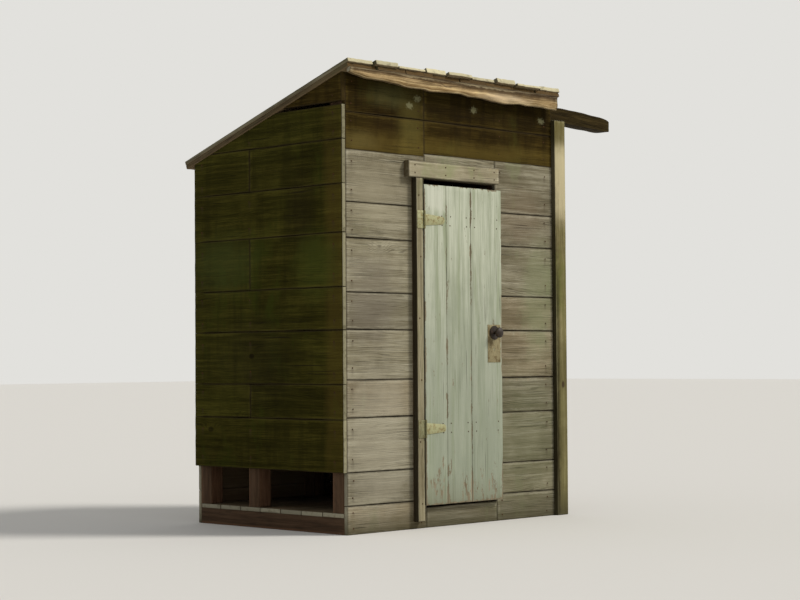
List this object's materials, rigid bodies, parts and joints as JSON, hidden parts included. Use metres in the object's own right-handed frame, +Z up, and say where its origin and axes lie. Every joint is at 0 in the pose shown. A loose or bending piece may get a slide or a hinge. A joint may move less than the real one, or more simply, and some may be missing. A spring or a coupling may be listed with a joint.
{
  "type": "wooden outhouse",
  "caption": "Small weathered board outhouse on a post frame, with a single-pitch board roof, a hinged painted door with a knob, and a long front beam.",
  "frame": {"origin": "on the ground at the centre of the room's footprint, on the underside of the middle skid", "axes": "+Z up, +X to the right as seen from the front, +Y towards the back; the door faces -Y"},
  "size_m": [2.377, 1.4336, 2.5829],
  "materials": {
    "frame_timber": "rough sawn, reddish brown",
    "beam_timber": "dark weathered",
    "floor_boards": "worn boards",
    "grey_boards": "silver grey weathered boards",
    "olive_boards": "olive brown boards with algae",
    "brown_boards": "olive brown weathered boards",
    "roof_boards": "pale grey weathered boards",
    "tan_plank": "tan weathered plank",
    "trim_boards": "grey weathered trim",
    "door_paint": "worn pale grey green paint on wood",
    "door_back_wood": "bare weathered boards",
    "hinge_iron": "rusty yellow iron",
    "lock_brass": "tarnished plate",
    "knob_iron": "dark worn metal"
  },
  "bodies": {
    "house": {"skid_left": "frame_timber", "skid_middle": "frame_timber", "skid_right": "frame_timber", "floor": "floor_boards", "corner_post_front_left": "frame_timber", "corner_post_front_right": "frame_timber", "corner_post_back_left": "frame_timber", "corner_post_back_right": "frame_timber", "side_post_left": "frame_timber", "side_post_right": "frame_timber", "back_post": "frame_timber", "door_post_left": "frame_timber", "door_post_right": "frame_timber", "door_lintel": "frame_timber", "front_beam": "beam_timber", "roof_purlin": "frame_timber", "back_plate": "frame_timber", "outer_post": "grey_boards", "front_wall_left": "grey_boards", "front_wall_right": "grey_boards", "front_wall_over_door": "grey_boards", "door_sill": "grey_boards", "front_band_left": "brown_boards", "front_band_right": "brown_boards", "left_wall": "olive_boards", "left_tapered_board": "brown_boards", "right_wall": "grey_boards", "back_wall": "grey_boards", "roof_deck": "roof_boards", "roof_cover": "roof_boards", "fascia": "tan_plank", "door_casing": "trim_boards", "door_header": "trim_boards", "hinge_upper_plate": "hinge_iron", "hinge_lower_plate": "hinge_iron"},
    "door": {"door_leaf": "door_paint", "door_ledges": "door_back_wood", "door_brace": "door_back_wood", "hinge_upper_strap": "hinge_iron", "hinge_lower_strap": "hinge_iron", "lock_plate": "lock_brass"},
    "knob": {"door_knob": "knob_iron"}
  },
  "joints": [
    {"name": "door_hinge", "type": "hinge", "parent": "house", "child": "door", "pos_m": [-0.2825, -0.669, 1.1405], "axis": [0, 0, -1], "range_deg": [0, 160]},
    {"name": "knob_turn", "type": "hinge", "parent": "door", "child": "knob", "pos_m": [0.2985, -0.663, 1.095], "axis": [0, -1, 0], "range_deg": [-50, 50], "stiffness_Nm_per_rad": 0.3}
  ]
}
